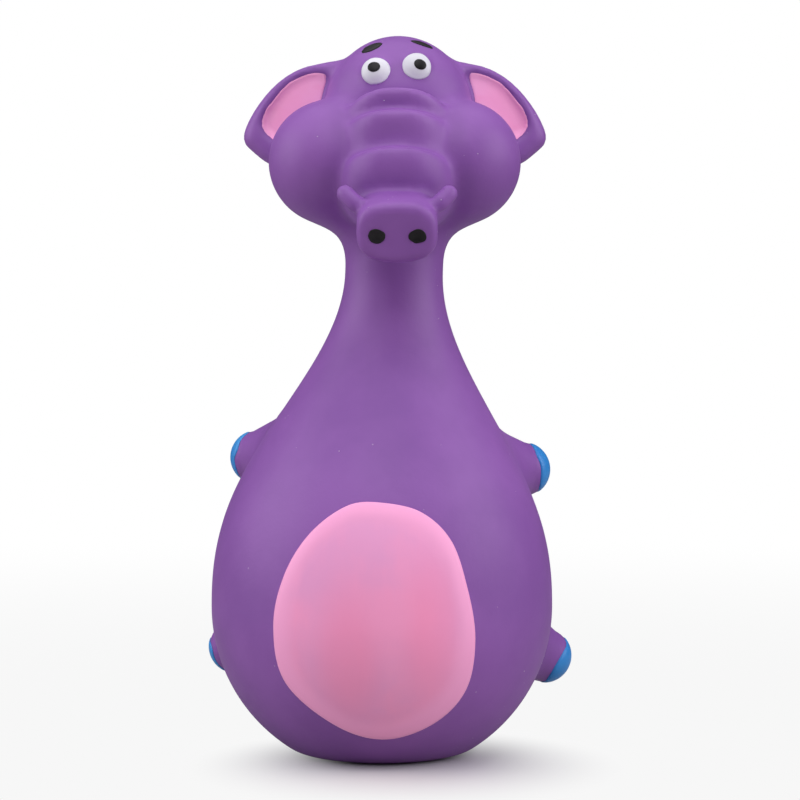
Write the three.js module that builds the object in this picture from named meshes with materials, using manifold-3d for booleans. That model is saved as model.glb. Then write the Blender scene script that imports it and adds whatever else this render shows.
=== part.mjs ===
// A squeaky dog toy: a round-bellied elephant with a long neck, slush-moulded in one piece from soft latex.
// Coats of coloured latex are painted on the skin, fibre fills it, and a bellows squeaker sits in its base.
// Millimetres and degrees. The toy stands on z = 0 and faces -Y, so its own left side is +X.

import * as THREE from "three";
import { mergeVertices } from "three/addons/utils/BufferGeometryUtils.js";
import Module from "manifold-3d";

const wasm = await Module();
wasm.setup();

// Body and neck: a pear turned about Z, with a round bottom that is cut flat
const BELLY_RADIUS = 47.6;
const BELLY_HEIGHT = 41;
const BELLY_DEPTH = 47;
const NECK_RADIUS = 13.7;
const NECK_HEIGHT = 134;
const NECK_LEAN = 3.6;
const LEAN_FROM = 66;
const LEAN_TO = 146;
const SHOULDER_POWER = 1.18;
const BASE_ROUNDING = 2;

// Head: a skull and two full cheeks, turned a little on the neck. Places on it are measured from the skull's
// centre, square to the face.
const HEAD_TURN = 3.6;
const SKULL_RISE = 44;
const SKULL_ACROSS = 1;
const SKULL_WIDTH = 20.8;
const SKULL_DEPTH = 19;
const SKULL_HEIGHT = 22;
const CHEEK_RADIUS = 17.4;
const CHEEK_HEIGHT = 17.2;
const CHEEK_DEPTH = 19;
const CHEEK_APART = 17.4;
const CHEEK_FORWARD = 8;
const CHEEK_DROP = 14.2;
const NECK_FILLET = 12;

// Trunk: a column of soft rolls that leans forward, and a flat oval snout. Creases are distances along the
// column.
const MUZZLE_TOP = { forward: 12, drop: 4.8 };
const MUZZLE_END = { forward: 20.5, drop: 18.5 };
const MUZZLE_RADIUS = 15;
const MUZZLE_CAP = 7;
const MUZZLE_CREASES = [-8, 5.7, 17.7, 31];
const ROLL_RELIEF = 1.5;
const SNOUT_ROOT = { forward: 24, drop: 26 };
const SNOUT_END = { forward: 43, drop: 37 };
const SNOUT_RADIUS = 10.8;
const SNOUT_FLATNESS = 0.77;
const SNOUT_ROUNDING = 2.4;
const NOSTRIL_APART = 5.3;
const NOSTRIL_RADIUS = 2.4;
const NOSTRIL_DEPTH = 0.8;
const NOSTRIL_COAT = { halfLength: 2.5, halfWidth: 2.05 };

// Tusks beside the snout
const TUSK_APART = { root: 11.2, tip: 12.8 };
const TUSK_FORWARD = { root: 37, tip: 36 };
const TUSK_DROP = { root: 31.5, tip: 26 };
const TUSK_RADIUS = 2.3;

// Ears: flat fans swept back beside the skull, with a dish in front. Both outlines are smooth and closed.
const EAR_OUTLINE = [
  [10, 14],
  [22, 14.8],
  [31, 11.5],
  [38.5, 4.2],
  [43, -4.8],
  [40, -9.6],
  [33, -14],
  [20, -16],
  [8, -4],
];
const EAR_DISH = [
  [16, 8.2],
  [21.5, 12.8],
  [29.5, 10.4],
  [34.6, 5],
  [37.8, -0.7],
  [36, -5.5],
  [28, -9],
  [19, -4],
];
const EAR_THICKNESS = 7.5;
const EAR_BACK = 3;
const EAR_SWEEP = 0.22;
const EAR_ROUNDING = 4;
const EAR_HOLLOW = 2.4;
const EAR_HOLLOW_FILLET = 0.6;

// Eyes and brows, which sit unevenly: across, and above the skull's centre
const EYES = {
  left: { across: 6.1, up: 11.8 },
  right: { across: -5.6, up: 10.4 },
};
const EYE_RADIUS = 5.2;
const EYE_PROUD = 2.2;
const EYE_WHITE_RADIUS = 4.2;
const PUPIL = { halfLength: 1.65, halfWidth: 1.4 };
const BROWS = {
  left: { across: 7.6, up: 18.6 },
  right: { across: -6.4, up: 17.4 },
};
const BROW = { halfLength: 3.6, halfWidth: 1.3, tilt: 28 };

// Limbs: stubs that point out and back, the left ones lower than the right ones
const ARM = { height: 79.6, uneven: 1.7, reach: 17.3, back: 35, slope: 3, root: 13.5, tip: 7.4 };
const LEG = { height: 24.7, uneven: 1, reach: 14.5, back: 33, slope: 7, root: 14, tip: 7.6 };
const LIMB_FILLET = 7;
const HOOF_LENGTH = 6;

// Skin and its painted coats
const WALL = 2.2;
const BASE_WALL = 3;
const FILLET = 4;
const CREASE = 2;
const COAT = 0.5;
const COAT_GAP = 0.3;
const BELLY_PATCH = { across: 0.8, height: 39.4, halfWidth: 26.3, halfHeight: 31.2, egg: 0.1 };

// Squeaker: a plug in the base holds a reed cartridge, and a bellows stands on the plug
const GAP = 0.3;
const PLUG_RECESS_RADIUS = 12;
const PLUG_RECESS_DEPTH = 1.6;
const PLUG_HOLE_RADIUS = 8.5;
const PLUG_INSET = 0.2;
const PLUG_FLOOR = 1.1;
const PLUG_LIP = 10.5;
const PLUG_LIP_HEIGHT = 1.3;
const SPIGOT_RADIUS = 7.5;
const SPIGOT_HEIGHT = 6.4;
const SOUND_HOLE_RADIUS = 2.2;
const SLEEVE_RADIUS = 4.9;
const SLEEVE_WALL = 0.6;
const SLEEVE_LENGTH = 12.4;
const REED_FLAT = 0.6;
const REED_WIDTH = 4.4;
const REED_THICKNESS = 0.3;
const REED_LENGTH = 10.4;
const REED_CLAMP = 2.5;
const REED_RAMP = 1.6;
const AIR_CHANNEL_WIDTH = 2;
const AIR_CHANNEL_DEPTH = 2.2;
const BELLOWS_PEAK = 17.5;
const BELLOWS_VALLEY = 12.5;
const BELLOWS_WALL = 0.9;
const BELLOWS_PLEATS = 4;
const PLEAT_PITCH = 6.2;
const BELLOWS_COLLAR = 2;
const CROWN_THICKNESS = 1.6;
const CROWN_SPIGOT = 3;
const FILL_CLEARANCE = 0.9;

// Mesh fineness: cell size at the head and at the belly, and how far facets may lie off the surface
const HEAD_CELL = 4;
const BELLY_CELL = 5.8;
const HOLLOW_COARSENESS = 2.3;
const RELAX_ROUNDS = 3;
const REFINE_ROUNDS = 2;
const SETTLED = 0.05;
const SKIN_TOLERANCE = 0.52;
const HOLLOW_TOLERANCE = 0.9;
const ROUND_SEGMENTS = 20;

const { abs, cos, hypot, max, min, PI, sign, sin, sqrt } = Math;
const { clamp, degToRad, smoothstep } = THREE.MathUtils;
const SIDES = { left: 1, right: -1 };
const UP = new THREE.Vector3(0, 0, 1);
const skull = new THREE.Vector3(NECK_LEAN, 0, NECK_HEIGHT + SKULL_RISE);

// Fields: distances that are negative inside a form

// The union of two forms, with a fillet of about k in the crease
function blend(a, b, k) {
  const h = max(k - abs(a - b), 0) / k;
  return min(a, b) - (h * h * k) / 4;
}

// The form a with the form b taken out of it, with an edge rounded by about k
function carve(a, b, k) {
  return -blend(-a, b, k);
}

function ellipsoid(x, y, z, rx, ry, rz) {
  const near = hypot(x / rx, y / ry, z / rz);
  const steep = hypot(x / (rx * rx), y / (ry * ry), z / (rz * rz));
  return steep > 0 ? (near * (near - 1)) / steep : -min(rx, ry, rz);
}

// A round bar from a to b whose radius changes evenly
function taper(p, a, b, radiusA, radiusB) {
  const ab = b.clone().sub(a);
  const t = clamp(p.clone().sub(a).dot(ab) / ab.lengthSq(), 0, 1);
  return p.distanceTo(a.clone().addScaledVector(ab, t)) - (radiusA + t * (radiusB - radiusA));
}

// Distance to a closed outline of [x, z] points, negative inside it
function outlineDistance(x, z, outline) {
  let nearest = Infinity;
  let inside = false;
  outline.forEach(([ax, az], i) => {
    const [bx, bz] = outline[(i + 1) % outline.length];
    const t = clamp(((x - ax) * (bx - ax) + (z - az) * (bz - az)) / ((bx - ax) ** 2 + (bz - az) ** 2), 0, 1);
    nearest = min(nearest, hypot(x - ax - t * (bx - ax), z - az - t * (bz - az)));
    if (az > z !== bz > z && x < ax + ((z - az) * (bx - ax)) / (bz - az)) inside = !inside;
  });
  return inside ? -nearest : nearest;
}

// The body's radius above its widest place
function bodyRadius(z) {
  const t = clamp((z - BELLY_HEIGHT) / (NECK_HEIGHT - BELLY_HEIGHT), 0, 1);
  return NECK_RADIUS + ((BELLY_RADIUS - NECK_RADIUS) * (1 + cos(PI * t ** SHOULDER_POWER))) / 2;
}

function bodySlope(z) {
  return bodyRadius(z + 0.5) - bodyRadius(z - 0.5);
}

// How far the neck stands off the body's axis
function lean(z) {
  return NECK_LEAN * smoothstep(z, LEAN_FROM, LEAN_TO);
}

function pear(p) {
  const across = hypot(p.x - lean(p.z), p.y);
  const up = p.z - BELLY_HEIGHT;
  if (up < 0) return ellipsoid(across, 0, up, BELLY_RADIUS, BELLY_RADIUS, BELLY_DEPTH);
  const body = (across - bodyRadius(p.z)) / hypot(1, bodySlope(p.z));
  return max(body, p.z - skull.z);
}

// A place as the head has it: from the skull's centre, with the head's turn taken back
function faced(p) {
  return p.clone().sub(skull).applyAxisAngle(UP, -degToRad(HEAD_TURN));
}

// A solid built in the head's own places, set on the neck
function onHead(solid) {
  return solid.rotate([0, 0, HEAD_TURN]).translate(skull.toArray());
}

function skullForm(q) {
  return ellipsoid(q.x - SKULL_ACROSS, q.y, q.z, SKULL_WIDTH, SKULL_DEPTH, SKULL_HEIGHT);
}

function cheeks(q) {
  const across = abs(q.x) - CHEEK_APART;
  return ellipsoid(across, q.y + CHEEK_FORWARD, q.z + CHEEK_DROP, CHEEK_RADIUS, CHEEK_DEPTH, CHEEK_HEIGHT);
}

const onFace = ({ forward, drop }, across = 0) => new THREE.Vector3(across, -forward, -drop);
const muzzleTop = onFace(MUZZLE_TOP);
const muzzleLength = muzzleTop.distanceTo(onFace(MUZZLE_END));
const muzzleAim = onFace(MUZZLE_END).sub(muzzleTop).normalize();
const snoutEnd = onFace(SNOUT_END);
const snoutLength = snoutEnd.distanceTo(onFace(SNOUT_ROOT));
const snoutAim = snoutEnd.clone().sub(onFace(SNOUT_ROOT)).normalize();
const snoutUp = new THREE.Vector3(1, 0, 0).cross(snoutAim);

// How far the rolls swell at a distance along the column: a round back between sharp creases
function rollSwell(along) {
  for (let i = 0; i + 1 < MUZZLE_CREASES.length; i++) {
    const [from, to] = [MUZZLE_CREASES[i], MUZZLE_CREASES[i + 1]];
    if (along >= from && along <= to) return ROLL_RELIEF * sin((PI * (along - from)) / (to - from));
  }
  return 0;
}

// The column of rolls, with a low cap above and a round end below
function muzzle(q, swell = rollSwell) {
  const from = q.clone().sub(muzzleTop);
  const along = from.dot(muzzleAim);
  const aside = from.addScaledVector(muzzleAim, -along).length();
  const beyond = (min(along, 0) * MUZZLE_RADIUS) / MUZZLE_CAP + max(along - muzzleLength, 0);
  return hypot(aside, beyond) - MUZZLE_RADIUS - swell(along);
}

function snout(q) {
  const from = q.clone().sub(snoutEnd);
  const along = from.dot(snoutAim);
  const height = SNOUT_RADIUS * SNOUT_FLATNESS;
  const side = ellipsoid(from.x, from.dot(snoutUp), 0, SNOUT_RADIUS, height, SNOUT_RADIUS);
  return max(carve(side, -along, SNOUT_ROUNDING), -along - snoutLength);
}

function nostrils(q) {
  const at = onFace(SNOUT_END, NOSTRIL_APART * (sign(q.x) || 1));
  return q.distanceTo(at.addScaledVector(snoutAim, NOSTRIL_RADIUS - NOSTRIL_DEPTH)) - NOSTRIL_RADIUS;
}

function tusks(q) {
  const side = sign(q.x) || 1;
  const place = (end) => new THREE.Vector3(side * TUSK_APART[end], -TUSK_FORWARD[end], -TUSK_DROP[end]);
  return taper(q, place("root"), place("tip"), TUSK_RADIUS, TUSK_RADIUS);
}

// A smooth closed outline through [x, z] points, with four steps from each to the next
function closedCurve(points) {
  const looped = [points.at(-1), ...points, points[0], points[1]];
  const curve = new THREE.SplineCurve(looped.map(([x, z]) => new THREE.Vector2(x, z)));
  const spans = looped.length - 1;
  const outline = [];
  for (let i = 0; i < 4 * points.length; i++) outline.push(curve.getPoint((1 + i / 4) / spans).toArray());
  return outline;
}

const earOutline = closedCurve(EAR_OUTLINE);
const earDish = closedCurve(EAR_DISH);

// Depth from the ear's front to its back, measured from its middle
function earDepth(q) {
  return (q.y - EAR_BACK - EAR_SWEEP * (abs(q.x) - SKULL_WIDTH)) / hypot(1, EAR_SWEEP);
}

function ears(q) {
  const edge = outlineDistance(abs(q.x), q.z, earOutline);
  return carve(edge, EAR_THICKNESS / 2 - abs(earDepth(q)), EAR_ROUNDING);
}

// The skull's front surface at a place across and above its centre
function onSkull({ across, up }) {
  const aside = (across - SKULL_ACROSS) / SKULL_WIDTH;
  const depth = SKULL_DEPTH * sqrt(max(1 - aside ** 2 - (up / SKULL_HEIGHT) ** 2, 0));
  return new THREE.Vector3(across, -depth, up);
}

function skullNormal({ x, y, z }) {
  const aside = (x - SKULL_ACROSS) / SKULL_WIDTH ** 2;
  return new THREE.Vector3(aside, y / SKULL_DEPTH ** 2, z / SKULL_HEIGHT ** 2).normalize();
}

const eyeCentres = Object.values(EYES).map((eye) => {
  const at = onSkull(eye);
  return at.addScaledVector(skullNormal(at), EYE_PROUD - EYE_RADIUS);
});

function eyes(q) {
  return min(...eyeCentres.map((centre) => q.distanceTo(centre))) - EYE_RADIUS;
}

// A limb's root and the centre of its round tip, on one side
function limbEnds({ height, uneven, reach, back, slope, tip }, side) {
  const out = bodyRadius(height) + reach - tip;
  const place = (distance, drop) =>
    new THREE.Vector3(
      side * distance * cos(degToRad(back)) + lean(height),
      distance * sin(degToRad(back)),
      height - side * uneven - drop,
    );
  return [place(out / 2, -slope), place(out, 0)];
}

function limbs(p, limb) {
  const [root, end] = limbEnds(limb, sign(p.x) || 1);
  return taper(p, root, end, limb.root, limb.tip);
}

// The hollow's forms: what is moulded thin
function core(p) {
  const q = faced(p);
  const head = blend(skullForm(q), cheeks(q), FILLET);
  return blend(blend(pear(p), head, FILLET), muzzle(q, () => 0), CREASE);
}

// The whole outer surface of the skin
function outer(p) {
  const q = faced(p);
  let form = blend(pear(p), cheeks(q), NECK_FILLET);
  form = blend(form, skullForm(q), CREASE);
  form = blend(form, ears(q), CREASE);
  form = blend(form, blend(muzzle(q), snout(q), CREASE), CREASE);
  form = blend(form, tusks(q), 1);
  form = carve(form, nostrils(q), 0.6);
  form = blend(form, eyes(q), 0.8);
  form = blend(form, min(limbs(p, ARM), limbs(p, LEG)), LIMB_FILLET);
  return carve(form, p.z, BASE_ROUNDING);
}

function hollow(p) {
  return carve(core(p) + WALL, p.z - BASE_WALL, BASE_ROUNDING);
}

// A lattice whose cells grow from the head down to the belly
function lattice(coarseness) {
  const levels = [];
  for (let z = -BELLY_CELL; z < skull.z + SKULL_HEIGHT + HEAD_CELL; ) {
    const grow = 1 - smoothstep(z, BELLY_HEIGHT + BELLY_DEPTH, NECK_HEIGHT);
    const cell = coarseness * (HEAD_CELL + (BELLY_CELL - HEAD_CELL) * grow);
    levels.push({ z, cell });
    z += cell;
  }
  levels.push({ z: levels.at(-1).z + levels.at(-1).cell, cell: levels.at(-1).cell });
  const widest = max(...EAR_OUTLINE.map(([x]) => x), BELLY_RADIUS + LEG.reach) + NECK_LEAN;
  const half = Math.ceil(widest / (coarseness * HEAD_CELL)) + 1;
  const count = [2 * half + 1, 2 * half + 1, levels.length];
  const place = (i, j, k) =>
    new THREE.Vector3((i - half + 0.5) * levels[k].cell, (j - half + 0.5) * levels[k].cell, levels[k].z);
  return { count, place };
}

function gradient(field, p) {
  const step = 0.02;
  const along = (axis) => {
    const ahead = p.clone();
    const behind = p.clone();
    ahead[axis] += step;
    behind[axis] -= step;
    return (field(ahead) - field(behind)) / (2 * step);
  };
  return new THREE.Vector3(along("x"), along("y"), along("z"));
}

// The point near this one where the field has this level, or this one if there is none within reach
function settle(field, start, level, reach) {
  const p = start.clone();
  for (let i = 0; i < 5; i++) {
    const g = gradient(field, p);
    p.addScaledVector(g, clamp((level - field(p)) / max(g.lengthSq(), 0.05), -1, 1));
  }
  const found = abs(field(p) - level) < SETTLED && p.distanceTo(start) < reach;
  return found ? p : start;
}

// Fills the weakest outside corner of each lattice face whose corners alternate, where sheets would touch
function untangle(values, steps) {
  for (let changed = true; changed; ) {
    changed = false;
    for (const [u, v] of [
      [steps[0], steps[1]],
      [steps[1], steps[2]],
      [steps[2], steps[0]],
    ])
      for (let i = 0; i + u + v < values.length; i++) {
        const face = [i, i + u, i + u + v, i + v];
        const [a, b, c, d] = face.map((corner) => values[corner] < 0);
        if (a !== c || b !== d || a === b) continue;
        const [near, far] = face.filter((corner) => values[corner] >= 0);
        values[values[near] < values[far] ? near : far] = -1e-3;
        changed = true;
      }
  }
}

// The surface of a field: one vertex in each lattice cell that it crosses, and a quad across each crossed edge
function surfaceNet(field, { count, place }) {
  const [nx, ny, nz] = count;
  const index = (i, j, k) => i + nx * (j + ny * k);
  const corners = new Array(nx * ny * nz);
  const values = new Float64Array(nx * ny * nz);
  for (let k = 0; k < nz; k++)
    for (let j = 0; j < ny; j++)
      for (let i = 0; i < nx; i++) {
        corners[index(i, j, k)] = place(i, j, k);
        values[index(i, j, k)] = field(corners[index(i, j, k)]);
      }
  const steps = [1, nx, nx * ny];
  untangle(values, steps);
  const cubeEdges = [];
  for (let corner = 0; corner < 8; corner++)
    for (let axis = 0; axis < 3; axis++)
      if (!(corner & (1 << axis))) cubeEdges.push([corner, corner | (1 << axis)]);
  const offset = (corner) => steps.reduce((sum, step, axis) => sum + (corner & (1 << axis) ? step : 0), 0);
  const vertexOf = new Map();
  const points = [];
  for (let k = 0; k + 1 < nz; k++)
    for (let j = 0; j + 1 < ny; j++)
      for (let i = 0; i + 1 < nx; i++) {
        const cell = index(i, j, k);
        const middle = new THREE.Vector3();
        let crossings = 0;
        for (const [a, b] of cubeEdges) {
          const va = values[cell + offset(a)];
          const vb = values[cell + offset(b)];
          if (va < 0 === vb < 0) continue;
          middle.add(corners[cell + offset(a)].clone().lerp(corners[cell + offset(b)], va / (va - vb)));
          crossings++;
        }
        if (!crossings) continue;
        vertexOf.set(cell, points.length);
        middle.divideScalar(crossings);
        points.push(settle(field, middle, 0, corners[cell].distanceTo(corners[cell + 1])));
      }
  const triangles = [];
  for (const [cell] of vertexOf)
    steps.forEach((step, axis) => {
      const inside = values[cell] < 0;
      if (inside === values[cell + step] < 0) return;
      const [u, v] = [steps[(axis + 1) % 3], steps[(axis + 2) % 3]];
      const quad = [cell, cell - u, cell - u - v, cell - v].map((c) => vertexOf.get(c));
      if (!inside) quad.reverse();
      triangles.push(quad[0], quad[1], quad[2], quad[0], quad[2], quad[3]);
    });
  return { points, triangles };
}

// Evens out a surface's vertices along the surface
function relax(field, { points, triangles }) {
  const sums = points.map(() => new THREE.Vector3());
  const counts = points.map(() => 0);
  triangles.forEach((from, i) => {
    const to = triangles[i % 3 === 2 ? i - 2 : i + 1];
    sums[from].add(points[to]);
    counts[from]++;
  });
  const moved = points.map((point, i) => {
    const even = sums[i].divideScalar(counts[i]);
    const settled = settle(field, even, 0, even.distanceTo(point) + HEAD_CELL / 2);
    return settled === even ? point : settled;
  });
  return { points: moved, triangles };
}

// Splits each edge whose middle lies off the surface
function refine(field, { points, triangles }, tolerance) {
  const finerPoints = [...points];
  const finer = [];
  const middles = new Map();
  const middleOf = (a, b) => {
    const key = `${min(a, b)},${max(a, b)}`;
    if (!middles.has(key)) {
      const middle = points[a].clone().lerp(points[b], 0.5);
      const settled = settle(field, middle, 0, points[a].distanceTo(points[b]) / 2);
      const off = abs(field(middle)) > tolerance && settled !== middle;
      middles.set(key, off ? finerPoints.push(settled) - 1 : -1);
    }
    return middles.get(key);
  };
  for (let t = 0; t < triangles.length; t += 3) {
    const corners = triangles.slice(t, t + 3);
    const halves = corners.map((corner, i) => middleOf(corner, corners[(i + 1) % 3]));
    const ring = corners.flatMap((corner, i) => (halves[i] < 0 ? [corner] : [corner, halves[i]]));
    if (ring.length === 6) finer.push(...halves, ...corners.flatMap((c, i) => [c, halves[i], halves.at(i - 1)]));
    else {
      const start = max(ring.indexOf(halves.find((half) => half >= 0)), 0);
      const fan = [...ring.slice(start), ...ring.slice(0, start)];
      for (let i = 1; i + 1 < fan.length; i++) finer.push(fan[0], fan[i], fan[i + 1]);
    }
  }
  return { points: finerPoints, triangles: finer };
}

// A field's surface, evened out and then made finer where it curves
function moulded(field, coarseness, tolerance) {
  let net = surfaceNet(field, lattice(coarseness));
  for (let i = 0; i < RELAX_ROUNDS; i++) net = relax(field, net);
  for (let i = 0; i < REFINE_ROUNDS; i++) net = refine(field, net, tolerance);
  return net;
}

// Solids, joined and cut

function solidOf(points, triangles) {
  const vertProperties = new Float32Array(points.flatMap((p) => [p.x, p.y, p.z]));
  const mesh = new wasm.Mesh({ numProp: 3, vertProperties, triVerts: new Uint32Array(triangles) });
  mesh.merge();
  return new wasm.Manifold(mesh);
}

// The solid inside a geometry's closed surface, whichever way its faces wind
function solidFrom(geometry) {
  geometry.deleteAttribute("normal");
  geometry.deleteAttribute("uv");
  const merged = mergeVertices(geometry, 1e-4);
  const position = merged.getAttribute("position");
  const corner = (i) => new THREE.Vector3().fromBufferAttribute(position, i);
  const triangles = [];
  let volume = 0;
  for (let t = 0; t < merged.index.count; t += 3) {
    const [a, b, c] = merged.index.array.slice(t, t + 3);
    if (a === b || b === c || c === a) continue;
    triangles.push([a, b, c]);
    volume += corner(a).dot(corner(b).cross(corner(c)));
  }
  const outward = triangles.flatMap(([a, b, c]) => (volume > 0 ? [a, b, c] : [a, c, b]));
  const points = Array.from({ length: position.count }, (_, i) => corner(i));
  return solidOf(points, outward);
}

function geometryOf(solid) {
  const { vertProperties, triVerts } = solid.getMesh();
  const geometry = new THREE.BufferGeometry();
  geometry.setAttribute("position", new THREE.BufferAttribute(new Float32Array(vertProperties), 3));
  geometry.setIndex(new THREE.BufferAttribute(triVerts, 1));
  geometry.computeVertexNormals();
  return geometry;
}

// A solid turned about Z from [radius, height] points that run round its section anticlockwise
function turned(profile, segments = ROUND_SEGMENTS) {
  const points = profile.map(([r, z]) => new THREE.Vector2(r, z));
  const lathe = new THREE.LatheGeometry(points, segments);
  return solidFrom(lathe.rotateX(PI / 2));
}

// An outline in the XY plane raised from one height to another
function raised(shape, from, to, curveSegments = 10) {
  const geometry = new THREE.ExtrudeGeometry(shape, { depth: to - from, bevelEnabled: false, curveSegments });
  return solidFrom(geometry.translate(0, 0, from));
}

const skinNet = moulded(outer, 1, SKIN_TOLERANCE);
const skinLevel = (level) =>
  solidOf(
    skinNet.points.map((p) => settle(outer, p, level, 3 * level)),
    skinNet.triangles,
  );
const hollowNet = moulded(hollow, HOLLOW_COARSENESS, HOLLOW_TOLERANCE);

// The biggest body of a solid, without stray slivers
function biggest(solid) {
  return solid.decompose().reduce((a, b) => (a.volume() > b.volume() ? a : b));
}

// An outline of [x, z] points pushed forward from y = 0
function forwardPrism(points, depth) {
  const shape = new THREE.Shape(points.map(([x, z]) => new THREE.Vector2(x, z)));
  return new THREE.ExtrudeGeometry(shape, { depth, bevelEnabled: false }).rotateX(PI / 2);
}

// An ellipsoid, for clearing a piece away from the head
function ball(centre, rx, ry, rz) {
  const geometry = new THREE.SphereGeometry(1, 32, 20).scale(rx, ry, rz);
  return solidFrom(geometry.translate(centre.x, centre.y, centre.z));
}

// A sheet over the floor of one ear's dish, from one height above it to another, clear of all its walls
function earSheet(side, clearance, from, to) {
  const outline = earDish.map(([x, z]) => new THREE.Vector2(x, z));
  const middle = new THREE.Vector2();
  for (const point of outline) middle.addScaledVector(point, 1 / outline.length);
  const inner = outline.map((point) => {
    const spoke = point.sub(middle);
    return spoke.setLength(spoke.length() - 1.5 * clearance).add(middle).toArray();
  });
  const stretch = hypot(1, EAR_SWEEP);
  const geometry = forwardPrism(inner, (to - from) * stretch);
  const position = geometry.getAttribute("position");
  for (let i = 0; i < position.count; i++) {
    const [x, y, z] = [position.getX(i), position.getY(i), position.getZ(i)];
    const floor = EAR_BACK + EAR_SWEEP * (x - SKULL_WIDTH) - (EAR_THICKNESS / 2 - EAR_HOLLOW) * stretch;
    position.setXYZ(i, side * x, floor - from * stretch + y, z);
  }
  const clear = EAR_HOLLOW_FILLET + clearance;
  const cheek = new THREE.Vector3(side * CHEEK_APART, -CHEEK_FORWARD, -CHEEK_DROP);
  const brain = new THREE.Vector3(SKULL_ACROSS, 0, 0);
  const sheet = solidFrom(geometry)
    .subtract(ball(cheek, CHEEK_RADIUS + clear, CHEEK_DEPTH + clear, CHEEK_HEIGHT + clear))
    .subtract(ball(brain, SKULL_WIDTH + clear, SKULL_DEPTH + clear, SKULL_HEIGHT + clear));
  return onHead(biggest(sheet));
}

// The skin: hollow, with hollowed ears and with a recess and a hole in its base for the plug
const recess = turned([
  [0, -1],
  [PLUG_RECESS_RADIUS, -1],
  [PLUG_RECESS_RADIUS, PLUG_RECESS_DEPTH],
  [PLUG_HOLE_RADIUS, PLUG_RECESS_DEPTH],
  [PLUG_HOLE_RADIUS, BASE_WALL + WALL],
  [0, BASE_WALL + WALL],
]);
const skinOutside = solidOf(skinNet.points, skinNet.triangles);
const skinInside = solidOf(hollowNet.points, hollowNet.triangles);
const earHollows = Object.values(SIDES).map((side) => earSheet(side, 0, 0, EAR_HOLLOW + EAR_THICKNESS));
const hollowSkin = skinOutside.subtract(skinInside).subtract(recess);
const latexSkin = hollowSkin.subtract(earHollows[0]).subtract(earHollows[1]);

// Painted coats: the skin's own surface raised by a gap and a thickness, kept inside a stencil
const underCoat = skinLevel(COAT_GAP);
const overCoat = skinLevel(COAT_GAP + COAT);
const underDot = skinLevel(2 * COAT_GAP + COAT);
const overDot = skinLevel(2 * COAT_GAP + 2 * COAT);
const coat = (stencil) => overCoat.intersect(stencil).subtract(underCoat).subtract(skinOutside);
const dot = (stencil) => overDot.intersect(stencil).subtract(underDot);

// An oval post that stands through a surface, its long axis tilted from the level
function ovalPost(at, aim, { halfLength, halfWidth, tilt = 0 }, height) {
  const shape = new THREE.Shape().absellipse(0, 0, halfLength, halfWidth, 0, 2 * PI);
  const geometry = new THREE.ExtrudeGeometry(shape, { depth: 2 * height, bevelEnabled: false, curveSegments: 9 });
  const level = new THREE.Vector3(0, 0, 1).cross(aim).normalize();
  const basis = new THREE.Matrix4().makeBasis(level, aim.clone().cross(level), aim);
  geometry.translate(0, 0, -height).rotateZ(degToRad(tilt)).applyMatrix4(basis).translate(at.x, at.y, at.z);
  return solidFrom(geometry);
}

function bellyStencil() {
  const { across, height, halfWidth, halfHeight, egg } = BELLY_PATCH;
  const points = [];
  for (let i = 0; i < 2 * ROUND_SEGMENTS; i++) {
    const turn = (PI * i) / ROUND_SEGMENTS;
    points.push([across + halfWidth * cos(turn) * (1 - egg * sin(turn)), height + halfHeight * sin(turn)]);
  }
  return solidFrom(forwardPrism(points, 2 * BELLY_RADIUS));
}

// A ball that covers a limb's last length
function hoofStencil(limb, side) {
  const [root, end] = limbEnds(limb, side);
  const aim = end.clone().sub(root).normalize();
  const radius = 2 * limb.tip;
  const centre = end.addScaledVector(aim, limb.tip - HOOF_LENGTH + radius);
  return solidFrom(new THREE.SphereGeometry(radius, 16, 12).translate(centre.x, centre.y, centre.z));
}

// The squeaker's levels, from the base up
const plugFloorTop = PLUG_INSET + PLUG_FLOOR;
const plugLipBottom = BASE_WALL + GAP;
const plugLipTop = plugLipBottom + PLUG_LIP_HEIGHT;
const spigotTop = plugLipTop + SPIGOT_HEIGHT;
const sleeveBottom = plugFloorTop + GAP;
const sleeveTop = sleeveBottom + SLEEVE_LENGTH;
const reedTop = sleeveTop - GAP;
const reedTip = reedTop - REED_LENGTH;
const bellowsBottom = plugLipTop + GAP;
const bellowsFloor = spigotTop - BELLOWS_WALL;
const bellowsTop = bellowsFloor + BELLOWS_PLEATS * PLEAT_PITCH;
const crownBottom = bellowsTop + BELLOWS_COLLAR + GAP;
const crownTop = crownBottom + CROWN_THICKNESS;

// A flange outside the base, a waist in its hole, a barbed lip inside and a spigot for the bellows
const squeakerPlug = turned([
  [SOUND_HOLE_RADIUS, PLUG_INSET],
  [PLUG_RECESS_RADIUS - GAP, PLUG_INSET],
  [PLUG_RECESS_RADIUS - GAP, PLUG_RECESS_DEPTH - GAP],
  [PLUG_HOLE_RADIUS - GAP, PLUG_RECESS_DEPTH - GAP],
  [PLUG_HOLE_RADIUS - GAP, plugLipBottom],
  [PLUG_LIP, plugLipBottom],
  [SPIGOT_RADIUS, plugLipTop],
  [SPIGOT_RADIUS, spigotTop],
  [SLEEVE_RADIUS + GAP, spigotTop],
  [SLEEVE_RADIUS + GAP, plugFloorTop],
  [SOUND_HOLE_RADIUS, plugFloorTop],
  [SOUND_HOLE_RADIUS, PLUG_INSET],
]);

const sleeveBore = SLEEVE_RADIUS - SLEEVE_WALL;
const reedSleeve = turned([
  [sleeveBore, sleeveBottom],
  [SLEEVE_RADIUS, sleeveBottom],
  [SLEEVE_RADIUS, sleeveTop],
  [sleeveBore, sleeveTop],
  [sleeveBore, sleeveBottom],
]);

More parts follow.
